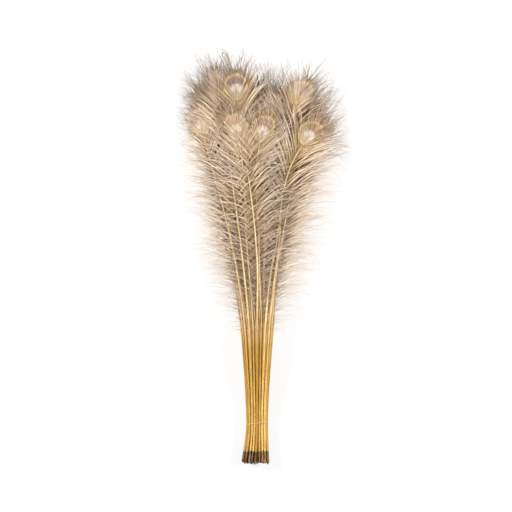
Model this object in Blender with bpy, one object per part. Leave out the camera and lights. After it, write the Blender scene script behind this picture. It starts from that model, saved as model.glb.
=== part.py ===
"""A bunch of fifty bleached peacock tail feathers, tied with one thread and laid down flat.

Units are metres. +Y runs from the quill ends to the feather tips and +Z is up. The layout below is
worked out from the quill ends, on the bunch's centre line, and the finished pieces are then shifted
so that the origin is under the middle of the bunch, on the surface that it lies on.
"""

import math
import random

import bmesh
import bpy
from mathutils import Vector

COLLECTION = "peacock_feather_bunch"
SEED = 7

# The origin's place in the layout: under the middle of the bunch
ORIGIN = Vector((0.0115, 0.418, 0.0))

# How the quills are stacked at the tie, lowest row first
ROWS = (5, 6, 7, 8, 9, 8, 7)
QUILL_PITCH = 0.0050
ROW_PITCH = 0.0039
QUILL_RADIUS = 0.0021

# Stations along the bunch: the tie, the first barbs, and the level where each shaft is on its own
TIE_Y = 0.083
VANE_Y = 0.262
MIDDLE_Y = 0.430
HEAD_Y = 0.640
END_SCATTER = 0.005

# Stations where a feather's section changes on the way: on the bare quill, low and high in the vane
QUILL_Y = 0.190
LOW_VANE_Y = 0.340
HIGH_VANE_Y = 0.530
LAST_VANE_Y = 0.620

# How far the quills fan out from the tie to the ends and to the first barbs
END_FLARE = 0.38
END_LIFT = 0.5
VANE_SPREAD = 0.55

# The quill ends lie a little left of the tie, and each is pushed aside a little by chance
END_SHIFT = -0.0035
END_SWAY = 0.0013

# Each row parts into two layers, which lie on each other like sheets
LAYER_PITCH = 0.0041
HEAD_LAYER_PITCH = 0.0046
SIDE_SINK = 0.15
HALF_WIDTH = 0.160

# The middle of the bunch and how far its shafts and eyes spread to each side of it
MIDDLE_X = -0.002
MIDDLE_SPREAD = 0.063
HEAD_X = 0.008
HEAD_SPREAD = 0.126
SIDE_LEAN = math.radians(28)

# How far chance moves a hidden feather's middle, its eye and its lean, and thins its quill
LOOSE_MIDDLE = 0.003
LOOSE_EYE = 0.010
LOOSE_LEAN = 0.07
THINNEST = 0.93

# The head's outline is two round lobes, given as centre x, centre y and radius
LOBES = ((-0.052, 0.711, 0.117), (0.080, 0.690, 0.112))
TIP_REACH = 0.072
EYE_DEPTH = (0.002, 0.066)
LOWEST_EYE = 0.655

# The feathers whose eyes show, by layer, left to right: x and y of the eye, and the lean in degrees
SHOWN_EYES = {
    13: ((-0.080, 0.764, -8), (-0.042, 0.756, -7), (0.108, 0.662, 42)),
    12: ((-0.113, 0.686, -13), (-0.044, 0.676, -17), (0.014, 0.672, 20), (0.087, 0.744, 25)),
    11: ((-0.106, 0.726, -20), (-0.030, 0.724, -5), (0.027, 0.716, 8), (0.128, 0.668, 40)),
}
SHOWN_MIDDLES = {
    13: (-0.031, -0.001, 0.036),
    12: (-0.048, -0.020, 0.004, 0.042),
}

# Half width of the vane, from a shaft to the barbs' tips, by distance from the quill end
VANE_WIDTHS = (
    (VANE_Y, 0.005), (LOW_VANE_Y, 0.050), (MIDDLE_Y, 0.074), (HIGH_VANE_Y, 0.066), (LAST_VANE_Y, 0.060),
)
EYE_APPROACH = 0.034
SHOULDER = 0.040
EYE_WIDTHS = ((-EYE_APPROACH, 0.054), (0.0, 0.050), (SHOULDER, 0.042), (TIP_REACH, 0.004))

# Half of what is left open between two vanes of a layer, and the step of the search for its place
NEIGHBOUR_GAP = 0.002
REACH_STEP = 0.0001

# Radius of the quill and shaft, by distance from the quill end, and about the eye
SHAFT_RADII = (
    (0.000, 0.0017), (0.030, 0.0020), (TIE_Y, QUILL_RADIUS), (QUILL_Y, QUILL_RADIUS),
    (VANE_Y, 0.00195), (LOW_VANE_Y, 0.00175), (MIDDLE_Y, 0.00145), (HIGH_VANE_Y, 0.00115),
    (LAST_VANE_Y, 0.00090),
)
EYE_RADII = ((-EYE_APPROACH, 0.00070), (0.0, 0.00045), (SHOULDER, 0.00030), (TIP_REACH, 0.00020))

# A vane's section, in shaft radii: least reach, and the half width and height of the shaft's ridge
LEAST_REACH = 1.5
RIDGE_HALF_WIDTH = 0.8
RIDGE_HEIGHT = 0.4

# The thread round the quills
THREAD_RADIUS = 0.0006
THREAD_GAP = 0.0004
THREAD_SLANT = 0.13
THREAD_POINTS = 36

FEATHER_COLOUR = (0.46, 0.34, 0.22, 1.0)
THREAD_COLOUR = (0.80, 0.68, 0.56, 1.0)


def between(pairs, value):
    """The straight-line value at a distance, from (distance, value) pairs in order."""
    if value <= pairs[0][0]:
        return pairs[0][1]
    for (a, at_a), (b, at_b) in zip(pairs, pairs[1:]):
        if value <= b:
            return at_a + (at_b - at_a) * (value - a) / (b - a)
    return pairs[-1][1]


def hermite(y, start, end):
    """A smooth curve's x and slope at y, between two ends given as (y, x, slope)."""
    (y0, x0, m0), (y1, x1, m1) = start, end
    span = y1 - y0
    u = (y - y0) / span
    x = (
        (2 * u**3 - 3 * u**2 + 1) * x0
        + (u**3 - 2 * u**2 + u) * m0 * span
        + (3 * u**2 - 2 * u**3) * x1
        + (u**3 - u**2) * m1 * span
    )
    slope = (
        (6 * u**2 - 6 * u) * (x0 - x1) / span
        + (3 * u**2 - 4 * u + 1) * m0
        + (3 * u**2 - 2 * u) * m1
    )
    return x, slope


def spread(y):
    """How far the quills have fanned out at y, against their places at the tie, and its slope."""
    if y < TIE_Y:
        part = (TIE_Y - y) / TIE_Y
        return 1 + END_FLARE * part**1.5, -1.5 * END_FLARE * part**0.5 / TIE_Y
    part = (y - TIE_Y) / (VANE_Y - TIE_Y)
    return 1 + VANE_SPREAD * part**1.5, 1.5 * VANE_SPREAD * part**0.5 / (VANE_Y - TIE_Y)


def level(layer, x, y):
    """The height of the sheet that a layer's feathers lie on, which sinks a little to the sides."""
    pitch = between(((VANE_Y, LAYER_PITCH), (HEAD_Y, HEAD_LAYER_PITCH)), y)
    return layer * pitch * (1 - SIDE_SINK * (x / HALF_WIDTH) ** 2)


def head_top(x):
    """The y of the head's outline at x."""
    tops = [cy + math.sqrt(max(0.0, r * r - (x - cx) ** 2)) for cx, cy, r in LOBES]
    return max(tops)


class Feather:
    """One feather's place: where its quill is at the tie, and where its shaft and eye lie."""

    def __init__(self, x_tie, z_tie, layer, middle_x, eye, base_y, radius_scale, sway):
        self.x_tie = x_tie
        self.z_tie = z_tie
        self.layer = layer
        self.base_y = base_y
        self.radius_scale = radius_scale
        self.end_push = END_SHIFT + sway
        self.eye_x, self.eye_y, lean = eye
        self.eye_slope = math.tan(lean)
        self.tip_y = self.eye_y + TIP_REACH * math.cos(lean)
        self.neighbours = [None, None]
        factor, slope = spread(VANE_Y)
        self.vane_start = (VANE_Y, x_tie * factor, x_tie * slope)
        rise = (middle_x - self.vane_start[1]) / (MIDDLE_Y - VANE_Y)
        rise += (self.eye_x - middle_x) / (self.eye_y - MIDDLE_Y)
        self.middle = (MIDDLE_Y, middle_x, rise / 2)
        self.eye = (self.eye_y, self.eye_x, self.eye_slope)
        self.approach_y = self.eye_y - EYE_APPROACH / math.hypot(1.0, self.eye_slope)

    def x_and_slope(self, y):
        """The shaft's x at y, and how fast x grows with y."""
        if y <= VANE_Y:
            factor, slope = spread(y)
            push, push_slope = self.push(y)
            return self.x_tie * factor + push, self.x_tie * slope + push_slope
        if y <= MIDDLE_Y:
            return hermite(y, self.vane_start, self.middle)
        if y <= self.eye_y:
            return hermite(y, self.middle, self.eye)
        return self.eye_x + (y - self.eye_y) * self.eye_slope, self.eye_slope

    def push(self, y):
        """How far the quill is pushed aside below the tie, and how fast that grows with y."""
        part = max(0.0, (TIE_Y - y) / TIE_Y)
        return self.end_push * part**1.5, -1.5 * self.end_push * part**0.5 / TIE_Y

    def past_eye(self, y):
        """How far y is past the eye's centre, measured along the shaft."""
        return (y - self.eye_y) * math.hypot(1.0, self.eye_slope)

    def shaft_radius(self, y):
        past = self.past_eye(y)
        if past >= -EYE_APPROACH:
            radius = between(EYE_RADII, past)
        else:
            last_y = max(self.approach_y, LAST_VANE_Y)
            radius = between(SHAFT_RADII + ((last_y, EYE_RADII[0][1]),), y)
        return radius * self.radius_scale

    def shaft_height(self, y):
        """The height of the shaft's centre line."""
        radius = self.shaft_radius(y)
        if y >= VANE_Y:
            return level(self.layer, self.x_and_slope(y)[0], y) + radius
        if y >= TIE_Y:
            top = level(self.layer, self.vane_start[1], VANE_Y) + self.shaft_radius(VANE_Y)
            part = (y - TIE_Y) / (VANE_Y - TIE_Y)
            return self.z_tie + (top - self.z_tie) * part * part * (3 - 2 * part)
        flare = 1 + END_LIFT * (spread(y)[0] - 1)
        return (self.z_tie - row_height(0)) * flare + row_height(0)

    def centre(self, y):
        return Vector((self.x_and_slope(y)[0], y, self.shaft_height(y)))

    def side(self, y):
        """The level direction across the shaft, to its right."""
        slope = self.x_and_slope(y)[1]
        return Vector((1.0, -slope, 0.0)).normalized()

    def full_reach(self, y):
        """How far the barbs' tips are from the shaft where no neighbour is near."""
        past = self.past_eye(y)
        if past >= -EYE_APPROACH:
            return between(EYE_WIDTHS, past)
        last_y = max(self.approach_y, LAST_VANE_Y)
        return between(VANE_WIDTHS + ((last_y, EYE_WIDTHS[0][1]),), y)

    def reach(self, y, right):
        """How far the vane's solid goes to one side: up to half way to the next feather's shaft."""
        full = self.full_reach(y)
        other = self.neighbours[1 if right else 0]
        if other is None:
            return full
        sign = 1 if right else -1
        start = self.centre(y)
        step = self.side(y) * sign
        clear = 0.0
        while clear + REACH_STEP <= full:
            point = start + step * (clear + REACH_STEP + NEIGHBOUR_GAP)
            half_way = (self.x_and_slope(point.y)[0] + other.x_and_slope(point.y)[0]) / 2
            if (half_way - point.x) * sign < 0:
                return clear
            clear += REACH_STEP
        return full

    def stations(self):
        """The y of each section, from the quill end to the tip."""
        shoulder = self.eye_y + SHOULDER / math.hypot(1.0, self.eye_slope)
        half_way = (HIGH_VANE_Y + self.approach_y) / 2
        fixed = (self.base_y, TIE_Y, QUILL_Y, VANE_Y, LOW_VANE_Y, MIDDLE_Y, HIGH_VANE_Y)
        return fixed + (half_way, self.approach_y, self.eye_y, shoulder, self.tip_y)


def row_height(row):
    """The height of a row's quill centres at the tie, over the thread that runs beneath."""
    return 2 * THREAD_RADIUS + THREAD_GAP + QUILL_RADIUS + row * ROW_PITCH


def hidden_eye(rng, place, count):
    """An eye beneath the shown ones, spread across the head and kept inside its outline."""
    across = (place + 0.5) / count * 2 - 1
    x = HEAD_X + HEAD_SPREAD * across + rng.uniform(-LOOSE_EYE, LOOSE_EYE)
    lean = SIDE_LEAN * across + rng.uniform(-LOOSE_LEAN, LOOSE_LEAN)
    tip_x = x + TIP_REACH * math.sin(lean)
    y = head_top(tip_x) - TIP_REACH * math.cos(lean) - rng.uniform(*EYE_DEPTH)
    return x, max(y, LOWEST_EYE), lean


def lay_out():
    """All feathers, lowest layer first and from left to right in each layer."""
    rng = random.Random(SEED)
    end_rng = random.Random(SEED + 1)
    feathers = []
    for row, count in enumerate(ROWS):
        top_row = row == len(ROWS) - 1
        first_slots = range(0, count, 2) if count % 2 == 0 or top_row else range(1, count, 2)
        for half in (0, 1):
            layer = 2 * row + half
            slots = [s for s in range(count) if (s in first_slots) == (half == 0)]
            placed = []
            for place, slot in enumerate(slots):
                across = (place + 0.5) / len(slots) * 2 - 1
                middle_x = MIDDLE_X + MIDDLE_SPREAD * across
                middle_x += rng.uniform(-LOOSE_MIDDLE, LOOSE_MIDDLE)
                eye = hidden_eye(rng, place, len(slots))
                if layer in SHOWN_MIDDLES:
                    middle_x = SHOWN_MIDDLES[layer][place]
                if layer in SHOWN_EYES:
                    x, y, degrees = SHOWN_EYES[layer][place]
                    eye = (x, y, math.radians(degrees))
                base_y = rng.uniform(0.0, END_SCATTER)
                x_tie = (slot - (count - 1) / 2) * QUILL_PITCH
                radius_scale = rng.uniform(THINNEST, 1.0)
                sway = end_rng.uniform(-END_SWAY, END_SWAY)
                z_tie = row_height(row)
                placed.append(
                    Feather(x_tie, z_tie, layer, middle_x, eye, base_y, radius_scale, sway)
                )
            for left, right in zip(placed, placed[1:]):
                left.neighbours[1] = right
                right.neighbours[0] = left
            feathers += placed
    return feathers


def quill_section(centre, radius):
    """Eight points round a bare quill, from its left side over the top."""
    points = []
    for step in range(8):
        angle = math.pi - step * math.pi / 4
        points.append(centre + Vector((math.cos(angle), 0.0, math.sin(angle))) * radius)
    return points


def vane_section(feather, y):
    """Eight points round a shaft with its two vanes, which lie flat on the layer beneath."""
    centre = feather.centre(y)
    side = feather.side(y)
    radius = feather.shaft_radius(y)

    def at(offset, height):
        point = centre + side * offset
        point.z = height
        return point

    def underside(offset):
        point = centre + side * offset
        return level(feather.layer, point.x, point.y)

    left = -max(feather.reach(y, False), LEAST_REACH * radius)
    right = max(feather.reach(y, True), LEAST_REACH * radius)
    root = RIDGE_HALF_WIDTH * radius
    ridge = centre.z + RIDGE_HEIGHT * radius
    return [
        at(left, underside(left)),
        at(-root, ridge),
        at(0.0, centre.z + radius),
        at(root, ridge),
        at(right, underside(right)),
        at(root, underside(root)),
        at(0.0, underside(0.0)),
        at(-root, underside(-root)),
    ]


def material(name, colour, roughness):
    made = bpy.data.materials.new(name)
    made.use_nodes = True
    shader = made.node_tree.nodes["Principled BSDF"]
    shader.inputs["Base Color"].default_value = colour
    shader.inputs["Roughness"].default_value = roughness
    shader.inputs["Metallic"].default_value = 0.0
    return made


def make_feather(name, feather, collection, surface):
    """One feather as a loft: a round quill, then a shaft with a thin vane on each side."""
    mesh = bpy.data.meshes.new(name)
    shape = bmesh.new()
    rings = []
    for y in feather.stations():
        if y < VANE_Y:
            points = quill_section(feather.centre(y), feather.shaft_radius(y))
        else:
            points = vane_section(feather, y)
        rings.append([shape.verts.new(point - ORIGIN) for point in points])
    for ring, following in zip(rings, rings[1:]):
        for corner in range(8):
            after = (corner + 1) % 8
            shape.faces.new((ring[corner], ring[after], following[after], following[corner]))
    shape.faces.new(rings[0])
    shape.faces.new(rings[-1])
    bmesh.ops.recalc_face_normals(shape, faces=shape.faces)
    bmesh.ops.triangulate(shape, faces=shape.faces)
    shape.to_mesh(mesh)
    shape.free()
    mesh.materials.append(surface)
    collection.objects.link(bpy.data.objects.new(name, mesh))


def make_thread(feathers, collection, surface):
    """The thread: a tube drawn tight round the outermost quills, rising a little to the right."""
    curve = bpy.data.curves.new("binding_thread", "CURVE")
    curve.dimensions = "3D"
    curve.bevel_depth = THREAD_RADIUS
    curve.bevel_resolution = 1
    spline = curve.splines.new("POLY")
    spline.points.add(THREAD_POINTS - 1)
    spline.use_cyclic_u = True
    reach = QUILL_RADIUS + THREAD_GAP + THREAD_RADIUS
    quills = [(f.x_tie, f.z_tie) for f in feathers]
    for step, point in enumerate(spline.points):
        angle = 2 * math.pi * (step + 0.5) / THREAD_POINTS
        across, up = math.cos(angle), math.sin(angle)
        x, z = max(quills, key=lambda quill: quill[0] * across + quill[1] * up)
        x += reach * across
        z += reach * up
        point.co = (*(Vector((x, TIE_Y + x * THREAD_SLANT, z)) - ORIGIN), 1.0)
    thread = bpy.data.objects.new("binding_thread", curve)
    thread.data.materials.append(surface)
    collection.objects.link(thread)


def main():
    for old in list(bpy.data.objects):
        bpy.data.objects.remove(old, do_unlink=True)
    collection = bpy.data.collections.new(COLLECTION)
    bpy.context.scene.collection.children.link(collection)
    feathers = lay_out()
    feather_surface = material("feather", FEATHER_COLOUR, 0.6)
    for number, feather in enumerate(feathers, 1):
        make_feather(f"feather_{number:02d}", feather, collection, feather_surface)
    make_thread(feathers, collection, material("thread", THREAD_COLOUR, 0.8))


main()
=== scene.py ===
"""A bunch of fifty bleached peacock tail feathers, tied with a thread and laid down flat.

Units are metres. +Y runs from the quill ends to the feather tips and +Z is up. As in the solids, the
layout is worked out from the quill ends, on the bunch's centre line, and then shifted by ORIGIN.
"""

import math
import random

import bpy
import numpy as np
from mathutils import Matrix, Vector


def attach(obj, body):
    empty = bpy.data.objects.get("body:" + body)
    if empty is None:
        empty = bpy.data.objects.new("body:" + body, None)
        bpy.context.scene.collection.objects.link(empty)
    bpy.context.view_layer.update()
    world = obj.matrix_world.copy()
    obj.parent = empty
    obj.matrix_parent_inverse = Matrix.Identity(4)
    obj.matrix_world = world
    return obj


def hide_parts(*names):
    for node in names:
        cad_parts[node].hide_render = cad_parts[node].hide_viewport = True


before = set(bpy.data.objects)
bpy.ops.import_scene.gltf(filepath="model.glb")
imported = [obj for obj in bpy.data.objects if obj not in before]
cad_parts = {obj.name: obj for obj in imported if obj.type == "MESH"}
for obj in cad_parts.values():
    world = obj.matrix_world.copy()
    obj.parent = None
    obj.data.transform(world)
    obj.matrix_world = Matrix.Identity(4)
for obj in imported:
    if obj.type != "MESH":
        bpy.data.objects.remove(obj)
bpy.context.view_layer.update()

# The origin's place in the layout: under the middle of the bunch
ORIGIN = np.array((0.0115, 0.418, 0.0))

# How the quills are stacked at the tie, lowest row first
ROWS = (5, 6, 7, 8, 9, 8, 7)
QUILL_PITCH = 0.0050
ROW_PITCH = 0.0039
QUILL_RADIUS = 0.0021

# Stations along the bunch: the tie, the first barbs, and the level where each shaft is on its own
TIE_Y = 0.083
QUILL_Y = 0.190
VANE_Y = 0.262
LOW_VANE_Y = 0.340
MIDDLE_Y = 0.430
HIGH_VANE_Y = 0.530
LAST_VANE_Y = 0.620
HEAD_Y = 0.640
END_SCATTER = 0.005

# How far the quills fan out from the tie to the ends and to the first barbs
END_FLARE = 0.38
END_LIFT = 0.5
VANE_SPREAD = 0.55

# The quill ends lie a little left of the tie, and each is pushed aside a little by chance
END_SHIFT = -0.0035
END_SWAY = 0.0013

# Each row parts into two layers, which lie on each other like sheets
LAYER_PITCH = 0.0041
HEAD_LAYER_PITCH = 0.0046
SIDE_SINK = 0.15
HALF_WIDTH = 0.160
TOP_LAYER = 2 * len(ROWS) - 1

# The middle of the bunch and how far its shafts and eyes spread to each side of it
MIDDLE_X = -0.002
MIDDLE_SPREAD = 0.063
HEAD_X = 0.008
HEAD_SPREAD = 0.126
SIDE_LEAN = math.radians(28)

# How far chance moves a hidden feather's middle, its eye and its lean, and thins its quill
LOOSE_MIDDLE = 0.003
LOOSE_EYE = 0.010
LOOSE_LEAN = 0.07
THINNEST = 0.93

# The head's outline is two round lobes, given as centre x, centre y and radius
LOBES = ((-0.052, 0.711, 0.117), (0.080, 0.690, 0.112))
TIP_REACH = 0.072
EYE_DEPTH = (0.002, 0.066)
LOWEST_EYE = 0.655

# The feathers whose eyes show, by layer, left to right: x and y of the eye, and the lean in degrees
SHOWN_EYES = {
    13: ((-0.080, 0.764, -8), (-0.042, 0.756, -7), (0.108, 0.662, 42)),
    12: ((-0.113, 0.686, -13), (-0.044, 0.676, -17), (0.014, 0.672, 20), (0.087, 0.744, 25)),
    11: ((-0.106, 0.726, -20), (-0.030, 0.724, -5), (0.027, 0.716, 8), (0.128, 0.668, 40)),
}
SHOWN_MIDDLES = {
    13: (-0.031, -0.001, 0.036),
    12: (-0.048, -0.020, 0.004, 0.042),
}
LAYOUT_SEED = 7
EYE_APPROACH = 0.034

# Radius of the quill and shaft, by distance from the quill end, and about the eye
SHAFT_RADII = (
    (0.000, 0.0017), (0.030, 0.0020), (TIE_Y, QUILL_RADIUS), (QUILL_Y, QUILL_RADIUS),
    (VANE_Y, 0.00195), (LOW_VANE_Y, 0.00175), (MIDDLE_Y, 0.00145), (HIGH_VANE_Y, 0.00115),
    (LAST_VANE_Y, 0.00090),
)
EYE_SHOULDER = 0.040
EYE_RADII = (
    (-EYE_APPROACH, 0.00070), (0.0, 0.00045), (EYE_SHOULDER, 0.00030), (TIP_REACH, 0.00020),
)
# Points in the table of a shaft's centre line
SHAFT_STEPS = 260

# A quill's sides and cuts, its end's wall and hollow against its radius and length, and how much
# flatter its underside is in the vane
QUILL_SIDES = 16
QUILL_CUTS = 60
QUILL_WALL = 0.3
HOLLOW_DEPTH = 0.006
FLAT_UNDERSIDE = 0.35
# The last stretch of the shaft, where it thins to this share of its radius
SHAFT_FADE = 0.03
SHAFT_END_SHARE = 0.45

# The thread round the quills
THREAD_RADIUS = 0.0006
THREAD_GAP = 0.0004
THREAD_SLANT = 0.13
THREAD_STEPS = 300
# Its plies: the length of a turn, and their offset and radius
TWIST_LENGTH = 0.0042
PLY_OFFSET = 0.00024
PLY_RADIUS = 0.00030
# Its knot, some steps before the line's end, and its loose ends
KNOT_STEP = 16
KNOT_SIZE = 0.00062
KNOT_RADIUS = 0.00040
TAIL_RADIUS = 0.00034
TAILS = ((1, 0.013), (-1, 0.010))

# A shaft ends in the eye's white heart, and the last barbs leave from the line that it would take.
# Both are measured along the shaft from the eye's centre
SHAFT_END = -0.007
LAST_BARB = 0.014

# The barbs by their place along the vane: 0 at its foot, 1 where the eye's closer barbs begin and
# 2 at the eye's centre. Then spacing, length, angle at the shaft, angle at the tip and width
EYE_BARBS = 0.100
PLACES, SPACINGS, LENGTHS, START_ANGLES, TIP_ANGLES, WIDTHS = np.array((
    (0.00, 0.0200, 0.050, 70, 136, 0.0004),
    (0.12, 0.0110, 0.098, 54, 134, 0.0005),
    (0.28, 0.0062, 0.118, 43, 128, 0.0007),
    (0.50, 0.0038, 0.120, 37, 118, 0.0010),
    (0.75, 0.0027, 0.118, 35, 100, 0.0013),
    (1.00, 0.0023, 0.110, 34, 86, 0.0014),
    (1.40, 0.0018, 0.104, 32, 62, 0.0014),
    (1.70, 0.0015, 0.102, 24, 47, 0.0014),
    (1.90, 0.0013, 0.098, 15, 35, 0.0014),
    (2.20, 0.0010, 0.090, 4, 15, 0.0013),
)).T

# How clearly a feather's eye shows and how warm its crown is, where the photo gives them
EYE_LOOKS = {
    40: (0.2, 0.3), 41: (0.2, 0.3), 42: (0.57, 0.1), 43: (0.2, 0.6),
    44: (0.85, 0.35), 45: (0.84, 1.0), 46: (1.0, 0.65), 47: (0.56, 0.10),
    48: (0.2, 0.1), 49: (1.0, 0.0), 50: (1.0, 0.95),
}
# How far an eye is turned from its shaft's line, in degrees to the right
EYE_TURNS = {44: -16, 46: 5, 47: 28, 50: 6}
# How far some feathers ride over their sheet or sink into it, by distance from the eye's centre
LIFTS = {
    44: ((-0.15, 0.0), (-0.06, 0.0040)),
    45: ((-0.15, 0.0), (-0.06, 0.0080)),
    46: ((-0.15, 0.0), (-0.06, 0.0085)),
    47: ((-0.44, 0.0), (-0.38, -0.0045), (-0.10, -0.0045), (-0.03, -0.0010)),
    48: ((-0.48, 0.0), (-0.42, 0.0020), (-0.20, 0.0020), (-0.10, 0.0)),
    49: ((-0.48, 0.0), (-0.42, 0.0045), (-0.24, 0.0045), (-0.15, 0.0005)),
    50: ((-0.40, 0.0), (-0.33, -0.0085), (-0.13, -0.0085), (-0.05, 0.0010)),
}
# Painted shade: the loose barbs inside the bunch are darkened as if they lay in its shade, by layer,
# and some single feathers more
INNER_LAYERS = (0, 1, 3, 10, 12, 13)
INNER_PAINTED_SHADE = (0.0, 0.3, 1.0, 1.0, 0.3, 0.0)
PAINTED_SHADE_FEATHERS = {43: 0.4, 47: 0.9}
# Half the width of the bunch's core, where shafts lie over each other, at some levels along it.
# Barbs in the core get painted shade, darker tones and edges for the shade in the gaps between them,
# and those beside it are pale fluff
CORE_LEVELS = (VANE_Y, LOW_VANE_Y, MIDDLE_Y, HIGH_VANE_Y, HEAD_Y, 0.80)
CORE_WIDTHS = (0.030, 0.040, 0.054, 0.076, 0.114, 0.130)
# Barbs cling together in locks: how far apart these are, how far the barbs move to join them, and
# how much of a barb's bends it shares with its lock
LOCK_SIZE = 0.0050
LOCK_PULL = 0.74
LOCK_SHARE = 0.85
# The share of the barbs round an eye that end at its ring, and the share that become long hairs
RING_SHARE = 0.62
LONG_SHARE = 0.15
# The part of its length from which a barb thins out to a fine hair
THIN_FROM = 0.30
TOP_THIN_FROM = {48: 0.45, 49: 0.60, 50: 0.45}
# Where a top feather's barbs are mere hairs and let an eye beneath them show: side and arc range
CLEARINGS = {48: ((1.0, -0.110, -0.012),), 49: ((-1.0, -0.155, -0.050), (1.0, -0.140, -0.070))}
# How much further apart than usual the loose barbs are on one top feather, to show what is beneath
SPARSE = {47: 1.5}
# The top feathers' barbs are a little longer than usual, and so are those on the head's right
LONGER = {48: 1.10, 49: 1.10, 50: 1.10}
RIGHT_REACH = 0.25
# The first layer that shows from above. Barbs below it are shorter, fewer and simpler
FIRST_SHOWN_LAYER = TOP_LAYER - 3
HIDDEN_REACH = 0.64
HIDDEN_THINNING = 1.5
SHOWN_SEGMENTS = 10
HIDDEN_SEGMENTS = 7
# A barb's width in an eye's closed web and past it, and how far chance curls and rolls it
WEB_WIDTH = 0.0019
FRINGE_WIDTH = 0.0006
TIP_CURL = 0.004
BARB_ROLL = 0.35
BARB_SEED = 1000
LOOK_SEED = 500
# Columns of barbs in a feather's bake map
MAP_COLUMNS = 4

# How far the barbs may reach to the side, up, past the tips and down
SIDE_LIMIT = 0.180
TOP_LIMIT = 0.0715
TIP_LIMIT = 0.442
LOWEST_BARB = 0.0007
LOWEST_CORNER = 0.0003

# Half the width and half the length of the golden ring round an eye
RING_WIDTH = 0.0215
RING_LENGTH = 0.0255

# The white table, the even light all round, and each lamp's name, place and power
WHITE = (1.0, 1.0, 1.0, 1.0)
TABLE_GREY = 0.25
TABLE_GLOW = 0.73
ROOM_LIGHT = 0.36
LAMP_SIZE = 1.0
LAMPS = (("left", (-2.0, 0.9, 1.6), 80.0), ("right", (2.0, 0.3, 1.6), 62.0))

# The width that the photo takes in
PHOTO_SPAN = 1.024
CAMERA_HEIGHT = 2.6
# The height in the bunch at which the picture has the photo's scale
SCALE_HEIGHT = 0.045
CAMERA_SENSOR = 36.0
# The layout's point at the middle of the picture
PICTURE_MIDDLE = (-0.0022, 0.4194)


def smooth(value):
    value = np.clip(value, 0.0, 1.0)
    return value * value * (3 - 2 * value)


def hermite(y, start, end):
    """A smooth curve's x and slope at y, between two ends given as (y, x, slope)."""
    (y0, x0, m0), (y1, x1, m1) = start, end
    span = y1 - y0
    u = (y - y0) / span
    v = 1 - u
    x = v * v * ((1 + 2 * u) * x0 + u * m0 * span) + u * u * ((3 - 2 * u) * x1 - v * m1 * span)
    slope = 6 * u * v * (x1 - x0) / span + v * (1 - 3 * u) * m0 + u * (3 * u - 2) * m1
    return x, slope


def spread(y):
    """How far the quills have fanned out at y, against their places at the tie, and its slope."""
    if y < TIE_Y:
        part = (TIE_Y - y) / TIE_Y
        return 1 + END_FLARE * part**1.5, -1.5 * END_FLARE * part**0.5 / TIE_Y
    part = (y - TIE_Y) / (VANE_Y - TIE_Y)
    return 1 + VANE_SPREAD * part**1.5, 1.5 * VANE_SPREAD * part**0.5 / (VANE_Y - TIE_Y)


def layer_pitch(y):
    return np.interp(y, (VANE_Y, HEAD_Y), (LAYER_PITCH, HEAD_LAYER_PITCH))


def level(layer, x, y):
    """The height of the sheet that a layer's feathers lie on, which sinks a little to the sides."""
    return layer * layer_pitch(y) * (1 - SIDE_SINK * (x / HALF_WIDTH) ** 2)


def head_top(x):
    """The y of the head's outline at x."""
    return max(cy + math.sqrt(max(0.0, r * r - (x - cx) ** 2)) for cx, cy, r in LOBES)


def row_height(row):
    """The height of a row's quill centres at the tie, over the thread that runs beneath."""
    return 2 * THREAD_RADIUS + THREAD_GAP + QUILL_RADIUS + row * ROW_PITCH


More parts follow.
